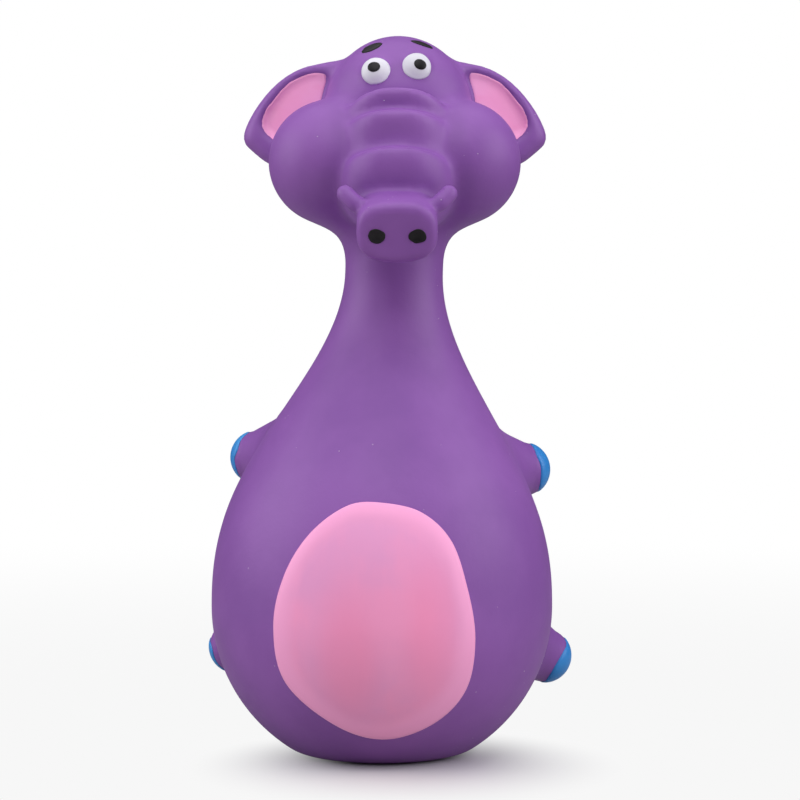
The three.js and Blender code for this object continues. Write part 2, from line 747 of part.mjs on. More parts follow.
// The part of the sleeve's bore on one side of a level line across it
function boreSegment(level, above, from, to) {
  const radius = sleeveBore - GAP;
  const turn = Math.asin(level / radius);
  const [start, end] = above ? [turn, PI - turn] : [PI - turn, 2 * PI + turn];
  const shape = new THREE.Shape().absarc(0, 0, radius, start, end, false);
  return raised(shape, from, to);
}

// The blade lies on the block's flat face, which ramps away under the free end over an air channel
function makeReedBlock() {
  const rampTop = reedTop - REED_CLAMP - GAP;
  const ramp = new THREE.Shape([
    new THREE.Vector2(REED_FLAT, rampTop),
    new THREE.Vector2(REED_FLAT - REED_RAMP, sleeveBottom - GAP),
    new THREE.Vector2(SLEEVE_RADIUS, sleeveBottom - GAP),
    new THREE.Vector2(SLEEVE_RADIUS, rampTop),
  ]);
  const prism = new THREE.ExtrudeGeometry(ramp, { depth: 2 * SLEEVE_RADIUS, bevelEnabled: false });
  const sideways = new THREE.Matrix4().makeBasis(
    new THREE.Vector3(0, 1, 0),
    new THREE.Vector3(0, 0, 1),
    new THREE.Vector3(1, 0, 0),
  );
  prism.translate(0, 0, -SLEEVE_RADIUS).applyMatrix4(sideways);
  const channelHeight = rampTop - sleeveBottom;
  const channel = new THREE.BoxGeometry(AIR_CHANNEL_WIDTH, 2 * AIR_CHANNEL_DEPTH, 2 * channelHeight);
  channel.translate(0, REED_FLAT, sleeveBottom - GAP);
  return boreSegment(REED_FLAT, false, sleeveBottom, reedTop).subtract(solidFrom(prism)).subtract(solidFrom(channel));
}

function makeReedTongue() {
  const half = REED_WIDTH / 2;
  const outline = [
    [half, reedTop],
    [-half, reedTop],
  ];
  for (let i = 0; i <= 8; i++) {
    const turn = PI + (PI * i) / 8;
    outline.push([half * cos(turn), reedTip + half + half * sin(turn)]);
  }
  const blade = forwardPrism(outline, REED_THICKNESS);
  return solidFrom(blade.translate(0, REED_FLAT + GAP + REED_THICKNESS, 0));
}

const wedgeLevel = REED_FLAT + 2 * GAP + REED_THICKNESS;
const reedWedge = boreSegment(wedgeLevel, true, reedTop - REED_CLAMP, reedTop);

// A neck on the spigot, a floor, zigzag pleats and a collar round the crown
function makeBellows() {
  const neck = SPIGOT_RADIUS + GAP;
  const outside = [
    [neck + BELLOWS_WALL, bellowsBottom],
    [neck + BELLOWS_WALL, bellowsFloor],
    [BELLOWS_VALLEY, bellowsFloor],
  ];
  const inside = [
    [neck, bellowsBottom],
    [neck, bellowsFloor + BELLOWS_WALL],
    [BELLOWS_VALLEY - BELLOWS_WALL, bellowsFloor + BELLOWS_WALL],
  ];
  for (let i = 0; i < BELLOWS_PLEATS; i++) {
    const peak = bellowsFloor + (i + 0.5) * PLEAT_PITCH;
    const valley = bellowsFloor + (i + 1) * PLEAT_PITCH;
    outside.push([BELLOWS_PEAK, peak], [BELLOWS_VALLEY, valley]);
    inside.push([BELLOWS_PEAK - 1.5 * BELLOWS_WALL, peak], [BELLOWS_VALLEY - BELLOWS_WALL, valley]);
  }
  outside.push([BELLOWS_VALLEY, bellowsTop + BELLOWS_COLLAR]);
  inside.push([BELLOWS_VALLEY - BELLOWS_WALL, bellowsTop + BELLOWS_COLLAR]);
  return turned([...outside, ...inside.reverse(), outside[0]]);
}

const crownSpigot = BELLOWS_VALLEY - BELLOWS_WALL - GAP;
const bellowsCrown = turned([
  [0, crownBottom - CROWN_SPIGOT],
  [crownSpigot, crownBottom - CROWN_SPIGOT],
  [crownSpigot, crownBottom],
  [BELLOWS_VALLEY, crownBottom],
  [BELLOWS_VALLEY, crownTop],
  [0, crownTop],
]);

// Fibre packed inside the skin, with a pocket round the squeaker
function makeFill() {
  const points = hollowNet.points.map((p) => settle(hollow, p, -FILL_CLEARANCE, 3 * FILL_CLEARANCE));
  const pocket = BELLOWS_PEAK + FILL_CLEARANCE;
  const room = turned([
    [0, 0],
    [pocket, 0],
    [pocket, crownTop + GAP],
    [0, crownTop + GAP],
  ]);
  return biggest(solidOf(points, hollowNet.triangles).intersect(skinInside).subtract(room));
}

// Colours and finishes

const finish = (color, roughness) => new THREE.MeshStandardMaterial({ color, roughness, metalness: 0 });
const LATEX = finish("#9467ac", 0.62);
const PINK = finish("#e08ab8", 0.55);
const BLUE = finish("#3a84c7", 0.5);
const WHITE = finish("#f2eff0", 0.5);
const BLACK = finish("#1b181c", 0.45);
const FIBRE = finish("#f4f3ee", 0.95);
const PLASTIC = finish("#eeeae0", 0.4);
const BLADE = finish("#d8d4c8", 0.3);

const toy = new THREE.Group();

function place(name, solid, material) {
  const mesh = new THREE.Mesh(geometryOf(solid), material);
  mesh.name = name;
  toy.add(mesh);
}

place("latex_skin", latexSkin, LATEX);
place("belly_patch", biggest(coat(bellyStencil())), PINK);
for (const [side, way] of Object.entries(SIDES)) {
  place(`ear_lining_${side}`, earSheet(way, COAT_GAP, COAT_GAP, COAT_GAP + COAT), PINK);
  const eye = onSkull(EYES[side]);
  const gaze = skullNormal(eye);
  const white = { halfLength: EYE_WHITE_RADIUS, halfWidth: EYE_WHITE_RADIUS };
  place(`eye_white_${side}`, biggest(coat(onHead(ovalPost(eye, gaze, white, EYE_RADIUS)))), WHITE);
  place(`pupil_${side}`, biggest(dot(onHead(ovalPost(eye, gaze, PUPIL, EYE_RADIUS)))), BLACK);
  const brow = onSkull(BROWS[side]);
  const stroke = { ...BROW, tilt: -way * BROW.tilt };
  place(`brow_${side}`, biggest(coat(onHead(ovalPost(brow, skullNormal(brow), stroke, EYE_RADIUS)))), BLACK);
  const nostril = ovalPost(onFace(SNOUT_END, way * NOSTRIL_APART), snoutAim, NOSTRIL_COAT, NOSTRIL_RADIUS);
  place(`nostril_${side}`, biggest(coat(onHead(nostril))), BLACK);
  place(`hoof_front_${side}`, biggest(coat(hoofStencil(ARM, way))), BLUE);
  place(`hoof_rear_${side}`, biggest(coat(hoofStencil(LEG, way))), BLUE);
}
place("fibre_fill", makeFill(), FIBRE);
place("squeaker_plug", squeakerPlug, PLASTIC);
place("reed_sleeve", reedSleeve, PLASTIC);
place("reed_block", makeReedBlock(), PLASTIC);
place("reed_tongue", makeReedTongue(), BLADE);
place("reed_wedge", reedWedge, PLASTIC);
place("squeaker_bellows", makeBellows(), PLASTIC);
place("bellows_crown", bellowsCrown, PLASTIC);

export default toy;
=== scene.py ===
"""A squeaky dog toy of painted latex: a round-bellied elephant with a long neck, standing on a pale table."""
from math import cos, pi, radians, sin

import bpy
import numpy as np
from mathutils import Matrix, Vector


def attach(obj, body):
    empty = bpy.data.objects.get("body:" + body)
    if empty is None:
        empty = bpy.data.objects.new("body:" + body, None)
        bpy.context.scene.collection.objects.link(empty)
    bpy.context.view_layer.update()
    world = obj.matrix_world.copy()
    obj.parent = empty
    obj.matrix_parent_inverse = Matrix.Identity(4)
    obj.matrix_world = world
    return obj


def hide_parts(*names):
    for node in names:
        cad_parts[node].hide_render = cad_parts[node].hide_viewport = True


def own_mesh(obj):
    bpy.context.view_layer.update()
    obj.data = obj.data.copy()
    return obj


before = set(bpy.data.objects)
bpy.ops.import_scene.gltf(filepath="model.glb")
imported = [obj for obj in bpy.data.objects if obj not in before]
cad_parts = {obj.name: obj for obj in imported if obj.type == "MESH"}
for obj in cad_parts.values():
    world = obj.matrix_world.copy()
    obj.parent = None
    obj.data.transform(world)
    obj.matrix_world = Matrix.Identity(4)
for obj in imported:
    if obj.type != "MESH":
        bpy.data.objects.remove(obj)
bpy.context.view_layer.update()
MM = 0.001

# Body sizes, in millimetres and degrees, in the solid model's frame
BELLY_RADIUS = 47.6
BELLY_HEIGHT = 41.0
BELLY_DEPTH = 47.0
NECK_RADIUS = 13.7
NECK_HEIGHT = 134.0
NECK_LEAN = 3.6
SHOULDER_POWER = 1.18
LEAN_FROM = 66.0
LEAN_TO = 146.0
BASE_ROUNDING = 2.0
HEAD_FROM = 124.0
HEAD_TURN = 3.6
SKULL = np.array([NECK_LEAN, 0.0, NECK_HEIGHT + 44.0])

# Head sizes, measured from the skull's centre and square to the head
SKULL_SHIFT = np.array([1.0, 0.0, 0.0])
SKULL_RADII = np.array([20.8, 19.0, 22.0])
CHEEK_RADII = np.array([17.4, 19.0, 17.2])
CHEEK_PLACE = np.array([17.4, -8.0, -14.2])

# Trunk: creases are places along the muzzle's axis, and the fade is in muzzle radii from its middle
NOSE_SHIFT = np.array([0.7, 0.0, 0.0])
MUZZLE_TOP = np.array([0.0, -13.2, -6.3])
MUZZLE_END = np.array([0.0, -19.0, -20.5])
MUZZLE_RADIUS = 15.0
MUZZLE_CREASES = np.array([-7.0, 1.4, 12.7, 32.0])
MUZZLE_CAP = 7.0
ROLL_RELIEF = 3.6
ROLL_RISE = 3.2
ROLL_FADE = (1.2, 0.2)
ROLL_SIDES = 0.4
SNOUT_ROOT = np.array([0.0, -24.0, -29.0])
SNOUT_END = np.array([0.0, -43.0, -37.0])
SNOUT_RADIUS = 10.6
SNOUT_FLATNESS = 0.77
SNOUT_ROUNDING = 2.4
SNOUT_SQUARENESS = 2.7
NOSTRIL_APART = 5.3
NOSTRIL_DROP = 0.5
NOSTRIL_RADIUS = 2.4
NOSTRIL_DEPTH = 0.8
NOSTRIL_ROUNDING = 0.6
TUSK_ROOT = np.array([11.4, -36.4, -28.0])
TUSK_TIP = np.array([13.6, -35.4, -25.6])
TUSK_RADIUS = 2.3
TUSK_FILLET = 2.2

# Ears: outlines are across and up
EAR_OUTLINE = [(10, 14), (22, 14.8), (31, 11.5), (38.5, 4.2), (43, -4.8), (40, -9.6), (33, -14), (20, -16),
               (8, -4)]
EAR_DISH = [(16, 8.2), (21.5, 12.8), (29.5, 10.4), (34.6, 5), (37.8, -0.7), (36, -5.5), (28, -9), (19, -4)]
EAR_SPANS = 4
EAR_THICKNESS = 7.5
EAR_BACK = 3.0
EAR_SWEEP = 0.22
EAR_ROUNDING = 4.0
EAR_HOLLOW = 2.4
EAR_HOLLOW_ROUNDING = 1.2
EAR_FLOOR_ROUNDING = 3.4

# Eyes: places on the skull's front, across and up
EYES = {"left": (6.4, 11.7), "right": (-5.6, 10.3)}
EYE_RADIUS = 5.2
EYE_PROUD = 2.2
EYE_FILLET = 0.8

# Limbs
ARM = dict(height=79.6, uneven=1.7, reach=17.3, back=35.0, slope=1.0, root=16.0, tip=7.8)
LEG = dict(height=24.3, uneven=1.0, reach=14.5, back=33.0, slope=11.0, root=17.0, tip=7.8)
SIDES = {"left": 1, "right": -1}

# Fillets, and the fold beside the trunk
LIMB_FILLET = 7.0
FILLET = 4.0
CREASE = 2.0
NECK_FILLET = 12.0
FOLD_DEPTH = 0.8
FOLD_WIDTH = 3.0

# Paint: half sizes and tilts of dots, reach of the blue tips in radians, and belly outlines across and up
EYE_WHITE = (3.95, 3.9)
EYE_STARE = 0.6
PUPIL = (1.8, 1.5)
PUPIL_TILTS = {"left": -20, "right": 0}
PUPIL_SHIFTS = {"left": (0.7, 0.0), "right": (-0.3, 0.6)}
BROWS = {"left": (7.6, 18.6), "right": (-6.4, 17.4)}
BROW_SIZES = {"left": (3.2, 1.4), "right": (3.1, 2.0)}
BROW_TILT = 32
NOSTRIL_PAINT = (2.3, 1.95)
NOSTRIL_TILT = 8
HOOF_REACH = {"front_left": 1.18, "front_right": 1.1, "rear_left": 1.22, "rear_right": 0.85}
HOOF_LEAN = {"front": np.array([0, -0.3, 0.15]), "rear": np.array([0, -0.3, -0.05])}
PATCH_MIDDLE = np.array([0.8, 39.4])
PATCH_OUTLINE = [(2.5, 71.5), (13, 69.2), (21.1, 61.6), (25.2, 49.6), (27.1, 35.6), (24.6, 22.6), (16, 13.4),
                 (3.5, 8.8), (-9, 12.2), (-22.6, 23.9), (-25.6, 39), (-22.5, 52.5), (-15.6, 63.7),
                 (-6.5, 70.5)]
PATCH_SPANS = 12
PATCH_DABS = [(-5, 33, 9, 17), (15, 38, 8, 20)]
EAR_MIDDLE = np.array([30.5, -1.0])
EAR_PAINT_MARGIN = -0.2
EAR_PAINT_FARTHEST = 26
EAR_PAINT_STEP = 0.2
EAR_PAINT_NEAR = 0.3
COAT_UNDER = 0.02
COAT_LIFT = 0.03
LIP_SHARPNESS = 14
RIDGE_FROM = 0.82
RIDGE_TO = 0.93

# Where paint starts its way down to the skin
BELLY_START = -60.0
DOT_START = 6
TIP_START = 4
EAR_START = 0.5
DROP_ROUNDS = 30
DROP_SHARE = 0.7

# Wall, base and fibre
WALL = 2.2
BASE_WALL = 3.0
PLUG_RECESS_RADIUS = 12.0
PLUG_RECESS_DEPTH = 1.6
PLUG_HOLE_RADIUS = 8.5
FILL_CLEARANCE = 0.9
FILL_LUMPS = 0.8
FILL_WAVES = (0.55, 0.5, 0.45)
FILL_ROUNDING = 2
FILL_POCKET = 18.4
FILL_POCKET_TOP = 39.1

# Squeaker bottle
BELLOWS = {"Bottom": 4.9, "Floor": 10.1, "Height": 32.0, "Neck": 8.7, "Valley": 12.5, "Peak": 17.5,
           "Wall": 0.9, "Pitch": 6.2, "Pleats": 4.0}

# Lattices that the fields are turned into meshes on
SKIN_LOW = (-58, -54, -2.3)
SKIN_HIGH = (58, 52, 203)
SKIN_CELL = 1.2
FILL_LOW = (-48, -48, 0)
FILL_HIGH = (48, 48, 200)
FILL_CELL = 2.2
COARSE_STEP = 4
NEAR_CELLS = 5
SLOPE_STEP = 0.02
SETTLE_ROUNDS = 2
SETTLE_LIMIT = 0.7
FLATTEST_SLOPE = 0.05
ON_SKIN = 0.1


# Fields: distances in millimetres, negative inside a form

def blend(a, b, k):
    h = np.maximum(k - np.abs(a - b), 0) / k
    return np.minimum(a, b) - h * h * k / 4


def carve(a, b, k):
    return -blend(-a, b, k)


def smoothstep(x, low, high):
    t = np.clip((x - low) / (high - low), 0, 1)
    return t * t * (3 - 2 * t)


def ellipsoid(d, radii):
    near = np.linalg.norm(d / radii, axis=-1)
    steep = np.linalg.norm(d / radii ** 2, axis=-1)
    return near * (near - 1) / np.maximum(steep, 1e-6)


def taper(p, a, b, radius_a, radius_b):
    ab = b - a
    t = np.clip((p - a) @ ab / (ab @ ab), 0, 1)
    return np.linalg.norm(p - a - t[:, None] * ab, axis=-1) - (radius_a + t * (radius_b - radius_a))


def closed_spline(points, steps):
    """A smooth closed outline through the points."""
    points = np.array(points, float)
    t = np.arange(steps)[:, None] / steps
    runs = []
    for i in range(len(points)):
        a, b, c, d = (points[(i + k) % len(points)] for k in (-1, 0, 1, 2))
        runs.append(b + (c - a) * t / 2 + (2 * a - 5 * b + 4 * c - d) * t ** 2 / 2
                    + (3 * b - a - 3 * c + d) * t ** 3 / 2)
    return np.vstack(runs)


def outline_distance(x, z, outline):
    nearest = np.full(x.shape, np.inf)
    inside = np.zeros(x.shape, bool)
    for (ax, az), (bx, bz) in zip(outline, np.roll(outline, -1, axis=0)):
        run, rise = bx - ax, bz - az
        t = np.clip(((x - ax) * run + (z - az) * rise) / (run * run + rise * rise), 0, 1)
        nearest = np.minimum(nearest, np.hypot(x - ax - t * run, z - az - t * rise))
        if rise != 0:
            inside ^= ((az > z) != (bz > z)) & (x < ax + (z - az) * run / rise)
    return np.where(inside, -nearest, nearest)


def body_radius(z):
    t = np.clip((z - BELLY_HEIGHT) / (NECK_HEIGHT - BELLY_HEIGHT), 0, 1)
    return NECK_RADIUS + (BELLY_RADIUS - NECK_RADIUS) * (1 + np.cos(pi * t ** SHOULDER_POWER)) / 2


def lean(z):
    return NECK_LEAN * smoothstep(z, LEAN_FROM, LEAN_TO)


def pear(p):
    across = np.hypot(p[:, 0] - lean(p[:, 2]), p[:, 1])
    up = p[:, 2] - BELLY_HEIGHT
    low = ellipsoid(np.stack([across, up], -1), np.array([BELLY_RADIUS, BELLY_DEPTH]))
    slope = body_radius(p[:, 2] + 0.5) - body_radius(p[:, 2] - 0.5)
    high = (across - body_radius(p[:, 2])) / np.hypot(1, slope)
    return np.where(up < 0, low, np.maximum(high, p[:, 2] - SKULL[2]))


head_turn = np.array([[cos(radians(HEAD_TURN)), -sin(radians(HEAD_TURN)), 0],
                      [sin(radians(HEAD_TURN)), cos(radians(HEAD_TURN)), 0], [0, 0, 1]])


def faced(p):
    """Places measured from the skull's centre, square to the head."""
    return (p - SKULL) @ head_turn


def on_head(q):
    return SKULL + q @ head_turn.T


def mirrored(q):
    """Head places with the right side folded onto the left."""
    return np.column_stack([np.abs(q[:, 0]), q[:, 1], q[:, 2]])


snout_aim = (SNOUT_END - SNOUT_ROOT) / np.linalg.norm(SNOUT_END - SNOUT_ROOT)
ear_outline = closed_spline(EAR_OUTLINE, EAR_SPANS)
ear_dish = closed_spline(EAR_DISH, EAR_SPANS)


def muzzle(q, relief):
    """The trunk's upper part: a column of soft rolls, each fullest near its top, that fade to the sides."""
    axis = MUZZLE_END - MUZZLE_TOP
    length = np.linalg.norm(axis)
    along = (q - MUZZLE_TOP) @ axis / length
    aside = np.linalg.norm(q - MUZZLE_TOP - along[:, None] * axis / length, axis=1)
    roll = np.clip(np.searchsorted(MUZZLE_CREASES, along) - 1, 0, len(MUZZLE_CREASES) - 2)
    into = along - MUZZLE_CREASES[roll]
    whole = np.diff(MUZZLE_CREASES)[roll]
    gone, full = ROLL_FADE
    front = smoothstep(np.abs(q[:, 0]), gone * MUZZLE_RADIUS, full * MUZZLE_RADIUS)
    swell = smoothstep(into, 0, ROLL_RISE) * (1 - smoothstep(into, ROLL_RISE, whole))
    radius = MUZZLE_RADIUS + relief * (ROLL_SIDES + front * (swell - ROLL_SIDES))
    above = np.minimum(along, 0) * MUZZLE_RADIUS / MUZZLE_CAP
    below = np.maximum(along - length, 0)
    return np.hypot(aside, above + below) - radius


def snout(q):
    """The trunk's blunt end: a squarish flat tube with a round-edged face."""
    d = q - SNOUT_END
    along = d @ snout_aim
    square = np.cross([1.0, 0, 0], snout_aim)
    across = np.abs(d[:, 0]) / SNOUT_RADIUS
    up = np.abs(d @ square) / (SNOUT_FLATNESS * SNOUT_RADIUS)
    near = (across ** SNOUT_SQUARENESS + up ** SNOUT_SQUARENESS) ** (1 / SNOUT_SQUARENESS)
    side = (near - 1) * SNOUT_FLATNESS * SNOUT_RADIUS
    length = np.linalg.norm(SNOUT_END - SNOUT_ROOT)
    return np.maximum(carve(side, -along, SNOUT_ROUNDING), -along - length)


def trunk(q, relief):
    return blend(muzzle(q, relief), snout(q), CREASE)


def ears(p):
    """Swept-back plates with a smooth dish in front."""
    q = mirrored(p)
    depth = (q[:, 1] - EAR_BACK - EAR_SWEEP * (q[:, 0] - SKULL_RADII[0])) / np.hypot(1, EAR_SWEEP)
    edge = outline_distance(q[:, 0], q[:, 2], ear_outline)
    rim = outline_distance(q[:, 0], q[:, 2], ear_dish)
    plate = carve(edge, EAR_THICKNESS / 2 - np.abs(depth), EAR_ROUNDING)
    dish = -blend(-rim, EAR_HOLLOW - EAR_THICKNESS / 2 - depth, EAR_FLOOR_ROUNDING)
    return carve(plate, dish, EAR_HOLLOW_ROUNDING)


def on_skull(across, up):
    """The skull's front surface at a place across and above its centre."""
    aside = (across - SKULL_SHIFT[0]) / SKULL_RADII[0]
    rise = up / SKULL_RADII[2]
    return np.array([across, -SKULL_RADII[1] * np.sqrt(1 - aside ** 2 - rise ** 2), up])


def skull_normal(point):
    n = (point - SKULL_SHIFT) / SKULL_RADII ** 2
    return n / np.linalg.norm(n)


eye_places = {side: on_skull(*place) for side, place in EYES.items()}
eye_centres = {side: place + skull_normal(place) * (EYE_PROUD - EYE_RADIUS)
               for side, place in eye_places.items()}


def eyes(p):
    away = [np.linalg.norm(p - centre, axis=1) for centre in eye_centres.values()]
    return np.minimum(*away) - EYE_RADIUS


def snout_point(across):
    return SNOUT_END + np.array([across, 0, -NOSTRIL_DROP])


def nostrils(p):
    q = mirrored(p)
    centre = snout_point(NOSTRIL_APART) + snout_aim * (NOSTRIL_RADIUS - NOSTRIL_DEPTH)
    return np.linalg.norm(q - centre, axis=1) - NOSTRIL_RADIUS


def limb_ends(limb, side):
    """The middles of a limb's root and tip."""
    out = body_radius(limb["height"]) + limb["reach"] - limb["tip"]
    turn = radians(limb["back"])
    height = limb["height"] - side * limb["uneven"]
    away = np.array([side * cos(turn), sin(turn), 0])
    middle = np.array([lean(limb["height"]), 0, height])
    return middle + away * out / 2 + np.array([0, 0, limb["slope"]]), middle + away * out


def limbs(p):
    ends = [(limb, *limb_ends(limb, side)) for limb in (ARM, LEG) for side in SIDES.values()]
    return np.min([taper(p, root, tip, limb["root"], limb["tip"]) for limb, root, tip in ends], axis=0)


def outer(p):
    """The skin's outside."""
    form = pear(p)
    high = p[:, 2] > HEAD_FROM
    low = ~high
    if high.any():
        q = faced(p[high])
        head = blend(form[high], ellipsoid(mirrored(q) - CHEEK_PLACE, CHEEK_RADII), NECK_FILLET)
        head = blend(head, ellipsoid(q - SKULL_SHIFT, SKULL_RADII), CREASE)
        head = blend(head, ears(q), CREASE)
        by_nose = q - NOSE_SHIFT
        nose = trunk(by_nose, ROLL_RELIEF)
        fold = FOLD_DEPTH * np.exp(-((head - nose) / FOLD_WIDTH) ** 2)
        head = blend(head, nose, FILLET) + fold
        tusks = taper(mirrored(by_nose), TUSK_ROOT, TUSK_TIP, TUSK_RADIUS, TUSK_RADIUS)
        head = blend(head, tusks, TUSK_FILLET)
        head = carve(head, nostrils(by_nose), NOSTRIL_ROUNDING)
        form[high] = blend(head, eyes(q), EYE_FILLET)
    if low.any():
        form[low] = blend(form[low], limbs(p[low]), LIMB_FILLET)
    return carve(form, p[:, 2], BASE_ROUNDING)


def hollow(p):
    """The room inside the skin."""
    form = pear(p)
    high = p[:, 2] > HEAD_FROM
    if high.any():
        q = faced(p[high])
        cheeks = ellipsoid(mirrored(q) - CHEEK_PLACE, CHEEK_RADII)
        head = blend(ellipsoid(q - SKULL_SHIFT, SKULL_RADII), cheeks, FILLET)
        form[high] = blend(blend(form[high], head, FILLET), muzzle(q, 0), CREASE)
    return carve(form + WALL, p[:, 2] - BASE_WALL, BASE_ROUNDING)


def plug_seat(p):
    across = np.hypot(p[:, 0], p[:, 1])
    recess = np.maximum(across - PLUG_RECESS_RADIUS, p[:, 2] - PLUG_RECESS_DEPTH)
    hole = np.maximum(across - PLUG_HOLE_RADIUS, p[:, 2] - BASE_WALL - WALL)
    return np.minimum(recess, hole)


def shell(p):
    """The moulded skin with its wall and the seat in its base."""
    return np.maximum(np.maximum(outer(p), -hollow(p)), -plug_seat(p))


def wad(p):
    """Fibre packed in the hollow, lumpy, with a pocket round the squeaker."""
    a, b, c = FILL_WAVES
    lumps = np.sin(p[:, 0] * a) * np.sin(p[:, 1] * b + 1) * np.sin(p[:, 2] * c)
    room = np.maximum(np.hypot(p[:, 0], p[:, 1]) - FILL_POCKET, p[:, 2] - FILL_POCKET_TOP)
    return carve(hollow(p) + FILL_CLEARANCE + FILL_LUMPS * (1 + lumps), room, FILL_ROUNDING)


def gradient(field, p):
    here = field(p)
    return np.stack([field(p + step) - here for step in np.eye(3) * SLOPE_STEP], axis=1) / SLOPE_STEP


def settle(field, p):
    """Points moved along the field's slope onto its surface."""
    for _ in range(SETTLE_ROUNDS):
        g = gradient(field, p)
        steep = np.maximum((g * g).sum(axis=1), FLATTEST_SLOPE)
        move = np.clip(-field(p) / steep, -SETTLE_LIMIT, SETTLE_LIMIT)
        p = p + g * move[:, None]
    return p


def surface_net(field, low, high, cell):
    """The field's surface as points and quads: one point in each lattice cell that it crosses.

    A coarse lattice finds where the surface is near, and only there is the field worked out in full."""
    axes = [np.arange(a, b + cell, cell) for a, b in zip(low, high)]
    shape = tuple(len(a) for a in axes)
    places = np.stack(np.meshgrid(*axes, indexing="ij"), -1)
    coarse = places[::COARSE_STEP, ::COARSE_STEP, ::COARSE_STEP]
    rough = field(coarse.reshape(-1, 3)).reshape(coarse.shape[:3])
    half = COARSE_STEP // 2
    nearest = [np.minimum((np.arange(n) + half) // COARSE_STEP, (n - 1) // COARSE_STEP) for n in shape]
    values = rough[np.ix_(*nearest)]
    close = np.abs(values) < NEAR_CELLS * cell
    values[close] = field(places[close])
    inside = values < 0
    corner = [(i, j, k) for i in (0, 1) for j in (0, 1) for k in (0, 1)]
    windows = [tuple(slice(o, n - 1 + o) for o, n in zip(c, shape)) for c in corner]
    count = sum(inside[window].astype(int) for window in windows)
    cells = np.argwhere((count > 0) & (count < 8))
    ids = np.full(tuple(n - 1 for n in shape), -1)
    ids[tuple(cells.T)] = np.arange(len(cells))
    total = np.zeros((len(cells), 3))
    crossings = np.zeros(len(cells))
    for c in corner:
        for axis in range(3):
            if c[axis]:
                continue
            a = cells + np.array(c)
            b = a.copy()
            b[:, axis] += 1
            va = values[tuple(a.T)]
            vb = values[tuple(b.T)]
            hit = (va < 0) != (vb < 0)
            t = np.where(hit, va / np.where(hit, va - vb, 1), 0)
            total += np.where(hit[:, None], a + t[:, None] * (b - a), 0)
            crossings += hit
    points = total / crossings[:, None] * cell + np.array([a[0] for a in axes])
    quads = []
    for axis in range(3):
        ahead = np.roll(inside, -1, axis)
        edge = np.argwhere(inside != ahead)
        edge = edge[(edge[:, axis] < shape[axis] - 1) & (edge.min(axis=1) > 0)]
        u = np.eye(3, dtype=int)[(axis + 1) % 3]
        v = np.eye(3, dtype=int)[(axis + 2) % 3]
        ring = np.stack([ids[tuple((edge - shift).T)] for shift in (0 * u, u, u + v, v)], axis=1)
        out = inside[tuple(edge.T)]
        quads.append(np.where(out[:, None], ring, ring[:, ::-1]))
    return settle(field, points), np.vstack(quads)


def shown(name, data):
    """A new object at the origin with this mesh, lamp or camera."""
    piece = bpy.data.objects.new(name, data)
    bpy.context.collection.objects.link(piece)
    return piece


def smooth_mesh(name, points, faces):
    """A mesh from points in millimetres."""
    mesh = bpy.data.meshes.new(name)
    mesh.from_pydata((points * MM).tolist(), [], faces)
    mesh.shade_smooth()
    return mesh


# Painted coats: round sheets of latex paint laid on the skin

def drop_onto(p, direction):
    """Points carried along a direction to the skin."""
    for _ in range(DROP_ROUNDS):
        p = p + direction * (outer(p) * DROP_SHARE)[:, None]
    return p


def coat(name, place, rim, rings, thick, ridge=0.0):
    """A sheet of paint, with or without a ridge round its edge. place(uv) lays its plan on the skin.

    Its points carry how far out they are, from 0 in the middle to 1 at the rim, as "reach"."""
    spokes = len(rim)
    levels = np.linspace(0, 1, rings + 1)[1:]
    flat = np.vstack([place(np.zeros((1, 2)))] + [place(rim * u) for u in levels])
    reach = np.concatenate([[0.0]] + [np.full(spokes, u) for u in levels])
    lip = np.sqrt(np.clip(1 - reach ** LIP_SHARPNESS, 0, 1))
    lip = lip * (1 + ridge * smoothstep(reach, RIDGE_FROM, RIDGE_TO))
    normal = gradient(outer, flat)
    normal /= np.linalg.norm(normal, axis=1)[:, None]
    top = flat + normal * (COAT_LIFT + thick * lip)[:, None]
    bottom = flat + normal * COAT_UNDER
    neighbours = [(i, (i + 1) % spokes) for i in range(spokes)]
    faces = [[0, 1 + i, 1 + j] for i, j in neighbours]
    for ring in range(rings - 1):
        a = 1 + ring * spokes
        b = a + spokes
        faces += [[a + i, b + i, b + j, a + j] for i, j in neighbours]
    n = len(flat)
    under = [[n + v for v in reversed(face)] for face in faces]
    a = 1 + (rings - 1) * spokes
    b = n + a
    wall = [[a + i, b + i, b + j, a + j] for i, j in neighbours]
    mesh = smooth_mesh(name, np.vstack([top, bottom]), faces + under + wall)
    mesh.attributes.new("reach", "FLOAT", "POINT").data.foreach_set("value", np.tile(reach, 2))
    return shown(name, mesh)


def wobble(turn, seed, amount):
    """A hand-painted edge: small slow waves round an outline."""
    rng = np.random.default_rng(seed)
    waves = sum(rng.uniform(-1, 1) / n * np.sin(n * turn + rng.uniform(0, 2 * pi)) for n in range(2, 9))
    return (1 + amount * waves)[:, None]


def turns(count):
    return np.arange(count) * 2 * pi / count


def oval(half_length, half_width, tilt=0.0, count=72, seed=1, amount=0.03):
    t = turns(count)
    rim = np.stack([half_length * np.cos(t), half_width * np.sin(t)], -1) * wobble(t, seed, amount)
    a = radians(tilt)
    return rim @ np.array([[cos(a), sin(a)], [-sin(a), cos(a)]])


def square_to(aim):
    """The level direction and the rising one that are square to a direction."""
    level = np.cross([0, 0, 1], aim)
    level /= np.linalg.norm(level)
    return level, np.cross(aim, level)


def over(centre, aim, shift=(0, 0)):
    """Lays flat outlines square to a direction and drops them back onto the skin."""
    level, rise = square_to(aim)
    start = centre + aim * DOT_START + shift[0] * level + shift[1] * rise

    def place(uv):
        return drop_onto(start + uv[:, :1] * level + uv[:, 1:] * rise, -aim)
    return place


